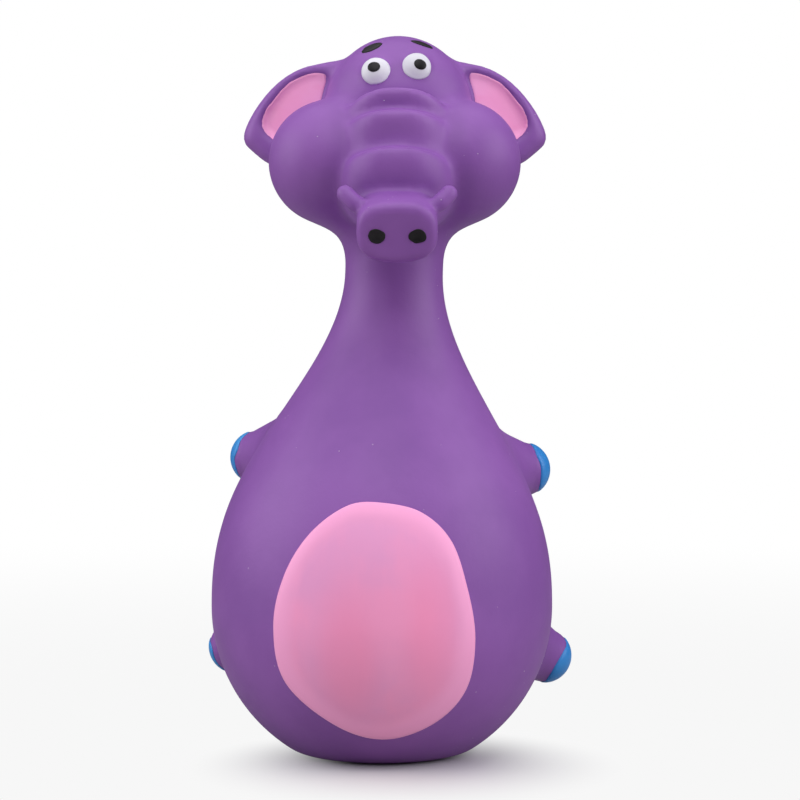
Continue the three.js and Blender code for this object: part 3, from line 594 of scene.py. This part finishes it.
def round_end(centre, aim, radius):
    """Lays outlines, given as angles from a direction, over a limb's round end."""
    level, rise = square_to(aim)

    def place(uv):
        angle = np.linalg.norm(uv, axis=1)[:, None]
        aside = (uv[:, :1] * level + uv[:, 1:] * rise) * np.sinc(angle / pi)
        out = aim * np.cos(angle) + aside
        return drop_onto(centre + out * (radius + TIP_START), -out)
    return place


def on_belly(uv):
    """Lays outlines, drawn round the patch's middle, on the belly's front."""
    across, up = (PATCH_MIDDLE + uv).T
    return drop_onto(np.stack([across, np.full(len(uv), BELLY_START), up], -1), np.array([0, 1.0, 0]))


coats = {}


def add_coat(node, place, rim, **looks):
    coats[node] = coat(node + "_paint", place, rim, **looks)


belly_rim = closed_spline(PATCH_OUTLINE, PATCH_SPANS) - PATCH_MIDDLE
belly_rim = belly_rim * wobble(turns(len(belly_rim)), seed=4, amount=0.01)
add_coat("belly_patch", on_belly, belly_rim[::-1], rings=60, thick=0.4, ridge=0.5)
for side, way in SIDES.items():
    aim = skull_normal(eye_places[side]) * (1 - EYE_STARE) + np.array([0, -EYE_STARE, 0])
    aim = head_turn @ (aim / np.linalg.norm(aim))
    eye = on_head(eye_centres[side]) + aim * EYE_RADIUS
    white = oval(*EYE_WHITE, seed=11 + way)
    add_coat(f"eye_white_{side}", over(eye, aim), white, rings=16, thick=0.25)
    dot = oval(*PUPIL, PUPIL_TILTS[side], seed=21 + way)
    add_coat(f"pupil_{side}", over(eye, aim, PUPIL_SHIFTS[side]), dot, rings=8, thick=0.45)
    brow = on_skull(*BROWS[side])
    lay = over(on_head(brow), head_turn @ skull_normal(brow))
    stroke = oval(*BROW_SIZES[side], -BROW_TILT * way, seed=31 + way, amount=0.08)
    add_coat(f"brow_{side}", lay, stroke, rings=10, thick=0.15)
    nostril = on_head(snout_point(way * NOSTRIL_APART) + NOSE_SHIFT)
    dot = oval(*NOSTRIL_PAINT, NOSTRIL_TILT * way, seed=41 + way, amount=0.1)
    add_coat(f"nostril_{side}", over(nostril, head_turn @ snout_aim), dot, rings=10, thick=0.3)
    for end, limb in (("front", ARM), ("rear", LEG)):
        root, tip = limb_ends(limb, way)
        aim = (tip - root) / np.linalg.norm(tip - root) + HOOF_LEAN[end]
        aim = aim / np.linalg.norm(aim)
        reach = HOOF_REACH[f"{end}_{side}"]
        cap = oval(reach, reach, seed=51 + way + len(end), amount=0.13)
        add_coat(f"hoof_{end}_{side}", round_end(tip, aim, limb["tip"]), cap, rings=18, thick=0.28)


# Ear linings: paint in each ear's dish, out to its rim and in to the cheek

def ear_front(side):
    """Lays outlines, drawn round the dish's middle, on the front of an ear."""
    def place(uv):
        out, up = (EAR_MIDDLE + uv).T
        face = EAR_BACK + EAR_SWEEP * (out - SKULL_RADII[0]) - EAR_THICKNESS / 2
        start = on_head(np.stack([side * out, face - EAR_START, up], -1))
        return drop_onto(start, head_turn @ np.array([0, 1.0, 0]))
    return place


def ear_rim(place, count=240):
    """The lining's outline: as far from the dish's middle as the dish and the cheek let it go."""
    way = np.stack([np.cos(turns(count)), np.sin(turns(count))], -1)
    reach = np.zeros(count)
    going = np.ones(count, bool)
    for step in np.arange(EAR_PAINT_STEP, EAR_PAINT_FARTHEST, EAR_PAINT_STEP):
        out, up = (EAR_MIDDLE + way * step).T
        going &= outline_distance(out, up, ear_dish) < EAR_PAINT_MARGIN
        going &= np.abs(ears(faced(place(way * step)))) < EAR_PAINT_NEAR
        reach = np.where(going, step, reach)
    least = np.min([np.roll(reach, k) for k in range(-2, 3)], axis=0)
    smooth = np.mean([np.roll(least, k) for k in range(-2, 3)], axis=0)
    return way * smooth[:, None]


for side, way in SIDES.items():
    lay = ear_front(way)
    rim = ear_rim(lay)
    add_coat(f"ear_lining_{side}", lay, rim if way < 0 else rim[::-1], rings=24, thick=0.25)


# The moulded skin and the fibre in it

def moulded(name, points, quads):
    mesh = smooth_mesh(name, points, quads.tolist())
    mesh.validate()
    return shown(name, mesh)


skin_points, skin_quads = surface_net(shell, SKIN_LOW, SKIN_HIGH, SKIN_CELL)
skin = moulded("latex_skin_moulding", skin_points, skin_quads)
fill = moulded("fibre_wad", *surface_net(wad, FILL_LOW, FILL_HIGH, FILL_CELL))


# Materials

def tone(r, g, b):
    """A colour as seen on a screen, 0 to 255, made linear."""
    linear = [((c / 255 + 0.055) / 1.055) ** 2.4 if c > 10 else c / 3294.6 for c in (r, g, b)]
    return (*linear, 1.0)


class Wire:
    """A value in a node tree. Sums on it add Math nodes."""

    def __init__(self, tree, socket):
        self.tree = tree
        self.socket = socket

    def math(self, operation, *values):
        return self.tree.node("ShaderNodeMath", dict(operation=operation), dict(enumerate(values)))

    def __add__(self, other):
        return self.math("ADD", self, other)

    def __sub__(self, other):
        return self.math("SUBTRACT", self, other)

    def __rsub__(self, other):
        return self.math("SUBTRACT", other, self)

    def __mul__(self, other):
        return self.math("MULTIPLY", self, other)

    def __truediv__(self, other):
        return self.math("DIVIDE", self, other)

    def __pow__(self, other):
        return self.math("POWER", self, other)

    def __lt__(self, other):
        return self.math("LESS_THAN", self, other)

    def __gt__(self, other):
        return self.math("GREATER_THAN", self, other)

    __radd__ = __add__
    __rmul__ = __mul__


class Tree:
    """A node tree, and one way to add any node to it."""

    def __init__(self, tree):
        self.tree = tree

    def node(self, kind, settings=None, sockets=None, output=0):
        made = self.tree.nodes.new(kind)
        for key, value in (settings or {}).items():
            setattr(made, key, value)
        for key, value in (sockets or {}).items():
            self.join(made.inputs[key], value)
        return Wire(self, made.outputs[output])

    def join(self, socket, value):
        if isinstance(value, Wire):
            self.tree.links.new(value.socket, socket)
        else:
            socket.default_value = value

    def split(self, vector):
        made = self.node("ShaderNodeSeparateXYZ", None, {0: vector})
        return [Wire(self, output) for output in made.socket.node.outputs]

    def ramp(self, value, low, high):
        return self.node("ShaderNodeMapRange", dict(interpolation_type="SMOOTHSTEP"),
                         {"Value": value, "From Min": low, "From Max": high})


class Finish(Tree):
    """A material built from a Principled shader and the nodes that feed it."""

    def __init__(self, name, **constants):
        self.material = bpy.data.materials.new(name)
        self.material.use_nodes = True
        super().__init__(self.material.node_tree)
        self.tree.nodes.clear()
        self.shader = self.tree.nodes.new("ShaderNodeBsdfPrincipled")
        self.output = self.tree.nodes.new("ShaderNodeOutputMaterial")
        self.tree.links.new(self.shader.outputs[0], self.output.inputs[0])
        self.coords = self.node("ShaderNodeTexCoord", output="Object")
        for socket, value in constants.items():
            self.feed(socket.replace("_", " "), value)

    def feed(self, socket, value):
        self.join(self.shader.inputs[socket], value)

    def noise(self, scale, detail=3.0, roughness=0.5, vector=None):
        sockets = {"Vector": vector or self.coords, "Scale": scale, "Detail": detail, "Roughness": roughness}
        return self.node("ShaderNodeTexNoise", None, sockets)

    def mix(self, factor, a, b):
        """Two colours mixed. The node's colour sockets come after those for numbers and vectors."""
        made = self.tree.nodes.new("ShaderNodeMix")
        made.data_type = "RGBA"
        for socket, value in zip((made.inputs[0], made.inputs[6], made.inputs[7]), (factor, a, b)):
            self.join(socket, value)
        return Wire(self, made.outputs[2])

    def bump(self, height, strength, distance):
        sockets = {"Height": height, "Strength": strength, "Distance": distance}
        self.feed("Normal", self.node("ShaderNodeBump", None, sockets))

    def specks(self, scale, size, share):
        """Small round dots on a share of the cells of a lattice."""
        sockets = {"Vector": self.coords, "Scale": scale, "Randomness": 1.0}
        near = self.node("ShaderNodeTexVoronoi", None, sockets, "Distance")
        tint = Wire(self, near.socket.node.outputs["Color"])
        chance = self.split(tint)[0]
        return (1 - self.ramp(near, size * 0.6, size)) * (chance < share)


def latex_skin():
    """Dull purple latex, a little cloudy, with pores, pale dust and dark grit."""
    f = Finish("purple_latex", Roughness=0.5, Specular_IOR_Level=0.42)
    base, pale, deep = tone(134, 80, 165), tone(148, 93, 178), tone(120, 69, 152)
    cloud = f.noise(28, 4, 0.55)
    colour = f.mix(f.ramp(cloud, 0.32, 0.68), deep, pale)
    colour = f.mix(0.55, colour, base)
    dust = f.specks(150, 0.05, 0.10)
    grit = f.specks(210, 0.05, 0.02)
    colour = f.mix(dust * 0.35, colour, tone(205, 185, 214))
    colour = f.mix(grit * 0.3, colour, tone(84, 50, 100))
    f.feed("Base Color", colour)
    f.feed("Roughness", 0.46 + 0.12 * f.noise(60, 3))
    pores = f.noise(900, 2, 0.6)
    dimples = f.noise(140, 3, 0.5)
    f.bump(pores * 0.35 + dimples * 0.65 + dust * 0.8, 0.22, 0.0004)
    return f.material


def paint(name, main, light, dark, roughness=0.42, gloss=0.45):
    """Brushed latex paint with streaks and thick and thin places."""
    f = Finish(name, Specular_IOR_Level=gloss)
    x, y, z = f.split(f.coords)
    drawn = f.node("ShaderNodeCombineXYZ", None, {0: x * 0.35, 1: y, 2: z})
    brush = f.noise(170, 4, 0.6, drawn)
    patchy = f.noise(55, 3, 0.5)
    colour = f.mix(f.ramp(patchy, 0.35, 0.7), main, light)
    colour = f.mix(f.ramp(brush, 0.5, 0.8) * 0.5, colour, dark)
    f.feed("Base Color", colour)
    f.feed("Roughness", roughness - 0.06 + 0.12 * patchy)
    f.bump(brush * 0.7 + f.noise(700, 2) * 0.3, 0.25, 0.0003)
    return f.material


def belly_paint():
    """Pink paint dabbed on by hand: pale and thick at the edge, thin and lilac inside, pinker in two dabs."""
    f = Finish("belly_pink_latex", Specular_IOR_Level=0.4)
    x, y, z = f.split(f.coords)
    reach = f.node("ShaderNodeAttribute", dict(attribute_name="reach"), output="Fac")
    cloud = f.noise(38, 3, 0.5)
    drawn = f.node("ShaderNodeCombineXYZ", None, {0: x, 1: y, 2: z * 0.3})
    strokes = f.noise(120, 4, 0.6, drawn)
    wander = 0.5 * cloud + 0.16 * strokes - 0.33
    colour = f.mix(f.ramp(cloud + 0.3 * strokes, 0.45, 0.85), tone(238, 160, 212), tone(254, 160, 208))
    for across, up, wide, tall in PATCH_DABS:
        aside = (x - across * MM) / (wide * MM)
        rise = (z - up * MM) / (tall * MM)
        near = (aside * aside + rise * rise) ** 0.5 + 2.4 * wander
        colour = f.mix((1 - f.ramp(near, 0.3, 1.3)) * 0.6, colour, tone(255, 148, 194))
    edge = f.ramp(reach + 0.3 * wander, 0.76, 0.92)
    colour = f.mix(edge * 0.9, colour, tone(255, 170, 220))
    dots = f.specks(170, 0.06, 0.05)
    colour = f.mix(dots * 0.5, colour, tone(200, 120, 172))
    f.feed("Base Color", colour)
    f.feed("Roughness", 0.42 + 0.14 * cloud)
    pocks = f.specks(140, 0.09, 0.05)
    f.bump(strokes * 0.25 + f.noise(500, 2) * 0.15 + pocks * 0.7, 0.3, 0.0004)
    return f.material


def plastic(name, colour, roughness):
    f = Finish(name, Specular_IOR_Level=0.5)
    cloud = f.noise(220, 3)
    f.feed("Base Color", f.mix(cloud, tuple(0.86 * c for c in colour[:3]) + (1.0,), colour))
    f.feed("Roughness", roughness + 0.1 * cloud)
    f.bump(f.noise(1500, 2), 0.15, 0.0002)
    return f.material


def fibre():
    f = Finish("white_fibre", Roughness=0.95)
    x, y, z = f.split(f.coords)
    combed = f.node("ShaderNodeCombineXYZ", None, {0: x, 1: y * 0.3, 2: z * 0.6})
    strands = f.noise(1800, 4, 0.7, combed)
    f.feed("Base Color", f.mix(strands, tone(212, 210, 202), tone(246, 245, 240)))
    f.bump(strands, 0.8, 0.0008)
    return f.material


PURPLE = latex_skin()
PINK = belly_paint()
EAR_PINK = paint("ear_pink_latex", tone(255, 166, 217), tone(255, 178, 226), tone(252, 150, 204))
WHITE = paint("eye_white_latex", tone(214, 212, 224), tone(228, 226, 236), tone(196, 193, 208))
BLACK = paint("black_latex", tone(18, 15, 20), tone(28, 25, 31), tone(10, 9, 11), roughness=0.4, gloss=0.24)
BLUE = paint("blue_latex", tone(38, 130, 208), tone(58, 148, 220), tone(26, 104, 184))
NATURAL = plastic("natural_polyethylene", tone(226, 220, 204), 0.42)
FILM = plastic("reed_film", tone(200, 192, 172), 0.25)
FIBRE = fibre()
DUST = plastic("dust", tone(196, 176, 206), 0.8)
COAT_FINISH = {
    "belly": (PINK, "pink_latex"),
    "ear": (EAR_PINK, "pink_latex"),
    "eye": (WHITE, "white_latex"),
    "pupil": (BLACK, "black_latex"),
    "brow": (BLACK, "black_latex"),
    "nostril": (BLACK, "black_latex"),
    "hoof": (BLUE, "blue_latex"),
}


# Pieces made by Geometry Nodes

class Rule(Tree):
    """A Geometry Nodes tree with named inputs, run once on an object."""

    def __init__(self, name, sizes):
        super().__init__(bpy.data.node_groups.new(name, "GeometryNodeTree"))
        sides = self.tree.interface
        sides.new_socket("Geometry", in_out="INPUT", socket_type="NodeSocketGeometry")
        sides.new_socket("Geometry", in_out="OUTPUT", socket_type="NodeSocketGeometry")
        self.sizes = sizes
        self.keys = {}
        for key in sizes:
            socket = sides.new_socket(key, in_out="INPUT", socket_type="NodeSocketFloat")
            self.keys[key] = socket.identifier
        inputs = self.tree.nodes.new("NodeGroupInput")
        self.given = {key: Wire(self, inputs.outputs[key]) for key in ("Geometry", *sizes)}

    def run(self, geometry, material, mesh=None):
        """The tree's result as a plain mesh object."""
        real = self.node("GeometryNodeRealizeInstances", None, {0: geometry})
        done = self.node("GeometryNodeSetMaterial", None, {"Geometry": real, "Material": material})
        end = self.tree.nodes.new("NodeGroupOutput")
        self.join(end.inputs[0], done)
        name = self.tree.name
        maker = shown(name + "_maker", mesh or bpy.data.meshes.new(name + "_seed"))
        modifier = maker.modifiers.new(name, "NODES")
        modifier.node_group = self.tree
        for key, value in self.sizes.items():
            modifier[self.keys[key]] = value
        result = bpy.data.meshes.new_from_object(maker.evaluated_get(bpy.context.evaluated_depsgraph_get()))
        bpy.data.objects.remove(maker)
        result.shade_smooth()
        return shown(name, result)


def pleated_bellows():
    """A bottle turned about Z: a neck, a floor, then pleats that go in and out evenly, then a collar."""
    sizes = {key: size if key == "Pleats" else size * MM for key, size in BELLOWS.items()}
    rule = Rule("bellows_pleats", sizes)
    size = rule.given
    sockets = {"Size X": 1.0, "Size Y": 1.0, "Vertices X": 73, "Vertices Y": 241}
    grid = rule.node("GeometryNodeMeshGrid", None, sockets)
    x, y = rule.split(rule.node("GeometryNodeInputPosition"))[:2]
    turn = (x + 0.5) * (2 * pi)
    round_trip = y + 0.5
    inner = round_trip > 0.5
    up = size["Bottom"] + size["Height"] * (round_trip * 2).math("PINGPONG", round_trip * 2, 1.0)
    fold = ((up - size["Floor"]) / size["Pitch"]).math("MAXIMUM", (up - size["Floor"]) / size["Pitch"], 0.0)
    fold = fold.math("MINIMUM", fold, size["Pleats"])
    swell = rule.ramp(fold.math("PINGPONG", fold * 2, 1.0), 0.0, 1.0)
    wide = size["Valley"] + (size["Peak"] - size["Valley"]) * swell
    above = up > size["Floor"] + size["Wall"] * inner
    radius = size["Neck"] + (wide - size["Neck"]) * above - size["Wall"] * inner
    sockets = {0: radius * turn.math("COSINE", turn), 1: radius * turn.math("SINE", turn), 2: up}
    place = rule.node("ShaderNodeCombineXYZ", None, sockets)
    body = rule.node("GeometryNodeSetPosition", None, {"Geometry": grid, "Position": place})
    joined = rule.node("GeometryNodeMergeByDistance", None, {"Geometry": body, "Distance": 0.00001})
    return rule.run(joined, NATURAL)


def dust_flecks():
    """Specks of dust and latex crumb that cling to the outside of the skin."""
    rule = Rule("skin_flecks", {"Density": 2600.0, "Smallest": 0.00006, "Largest": 0.0002})
    size = rule.given
    outside = rule.node("GeometryNodeInputNamedAttribute", dict(data_type="FLOAT"), {"Name": "outside"})
    sockets = {"Mesh": size["Geometry"], "Density": size["Density"] * outside, "Seed": 7}
    points = rule.node("GeometryNodeDistributePointsOnFaces", None, sockets)
    crumb = rule.node("GeometryNodeMeshIcoSphere", None, {"Radius": 1.0, "Subdivisions": 1})
    scale = rule.node("FunctionNodeRandomValue", dict(data_type="FLOAT"),
                      {2: size["Smallest"], 3: size["Largest"], "Seed": 3}, 1)
    sockets = {"Points": points, "Instance": crumb, "Scale": scale}
    return rule.run(rule.node("GeometryNodeInstanceOnPoints", None, sockets), DUST, skin.data.copy())


# Fitting the pieces to the frame

def fit(piece, node, material, slot, keep=0.93, anchor=0.0):
    """Puts a piece in the place of a node."""
    piece.data.materials.clear()
    piece.data.materials.append(material)
    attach(piece, "toy")
    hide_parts(node)
    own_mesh(piece)


outside = skin.data.attributes.new("outside", "FLOAT", "POINT")
outside.data.foreach_set("value", (np.abs(outer(skin_points)) < ON_SKIN).astype(float))
flecks = dust_flecks()
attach(flecks, "toy")
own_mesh(flecks)
fit(skin, "latex_skin", PURPLE, "purple_latex")
fit(fill, "fibre_fill", FIBRE, "fibre")
fit(pleated_bellows(), "squeaker_bellows", NATURAL, "squeaker_plastic",
    keep=0.5625, anchor=BELLOWS["Bottom"] * MM)
for node, piece in coats.items():
    fit(piece, node, *COAT_FINISH[node.split("_")[0]])
for name in ("squeaker_plug", "reed_sleeve", "reed_block", "reed_wedge", "bellows_crown", "reed_tongue"):
    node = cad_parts[name]
    node.data.materials.clear()
    node.data.materials.append(FILM if name == "reed_tongue" else NATURAL)


# Floor, light and camera, in metres and watts

SHADOW_MIDDLE = (0.008, -0.022)
SHADOW_FADE = (0.012, 0.06)
GLOW_FADE = (0.15, 0.9)
WORLD_LIGHT = 0.1
LIT_PLACE = (0, 0, 0.1)
SOFTBOXES = {
    "top_softbox": dict(place=(0, -0.1, 0.95), size=1.2, power=5.5),
    "left_softbox": dict(place=(-0.8, -0.15, 0.45), size=0.7, power=4.2),
    "right_softbox": dict(place=(0.8, -0.15, 0.45), size=0.7, power=4.6),
    "front_softbox": dict(place=(0, -0.75, 0.8), size=0.8, power=3.8),
}
CAMERA_PLACE = (0.0402, -0.5586, 0.0982)
CAMERA_TURN = 3.6
CAMERA_LENS = 89.84


def table_finish():
    """A pale table: shaded near the toy, white to the camera farther off, and dim in what it throws back."""
    f = Finish("white_table", Roughness=0.35, Specular_IOR_Level=0.25)
    x, y = f.split(f.coords)[:2]
    aside = x - SHADOW_MIDDLE[0]
    ahead = y - SHADOW_MIDDLE[1]
    away = (aside * aside + ahead * ahead) ** 0.5
    far = f.ramp(away, *SHADOW_FADE)
    rays = f.tree.nodes.new("ShaderNodeLightPath")
    camera = Wire(f, rays.outputs["Is Camera Ray"])
    f.feed("Base Color", f.mix(camera, (0.5, 0.49, 0.47, 1), (0.72, 0.71, 0.72, 1)))
    glow = f.tree.nodes.new("ShaderNodeEmission")
    f.join(glow.inputs["Strength"], 0.93 + 0.07 * f.ramp(away, *GLOW_FADE))
    both = f.tree.nodes.new("ShaderNodeMixShader")
    f.join(both.inputs[0], far * camera)
    f.tree.links.new(f.shader.outputs[0], both.inputs[1])
    f.tree.links.new(glow.outputs[0], both.inputs[2])
    f.tree.links.new(both.outputs[0], f.output.inputs[0])
    return f.material


bpy.ops.mesh.primitive_plane_add(size=8, location=(0, 0, 0))
floor = bpy.context.object
floor.name = "table_top"
floor.data.materials.append(table_finish())

scene = bpy.context.scene
scene.view_settings.view_transform = "Standard"
world = bpy.data.worlds.new("studio")
world.use_nodes = True
scene.world = world
tree = world.node_tree
back = tree.nodes["Background"]
back.inputs["Color"].default_value = (1, 1, 1, 1)
rays = tree.nodes.new("ShaderNodeLightPath")
choose = tree.nodes.new("ShaderNodeMix")
choose.inputs[2].default_value = WORLD_LIGHT
choose.inputs[3].default_value = 1.0
tree.links.new(rays.outputs["Is Camera Ray"], choose.inputs[0])
tree.links.new(choose.outputs[0], back.inputs["Strength"])


def softbox(name, place, size, power):
    light = bpy.data.lights.new(name, "AREA")
    light.shape = "RECTANGLE"
    light.size = size
    light.size_y = size
    light.energy = power
    lamp = shown(name, light)
    lamp.location = place
    lamp.rotation_euler = (Vector(LIT_PLACE) - Vector(place)).to_track_quat("-Z", "Y").to_euler()


for name, values in SOFTBOXES.items():
    softbox(name, **values)

camera_data = bpy.data.cameras.new("camera")
camera_data.sensor_width = 36
camera_data.lens = CAMERA_LENS
camera = shown("camera", camera_data)
camera.location = CAMERA_PLACE
camera.rotation_euler = (pi / 2, 0, radians(CAMERA_TURN))
scene.camera = camera
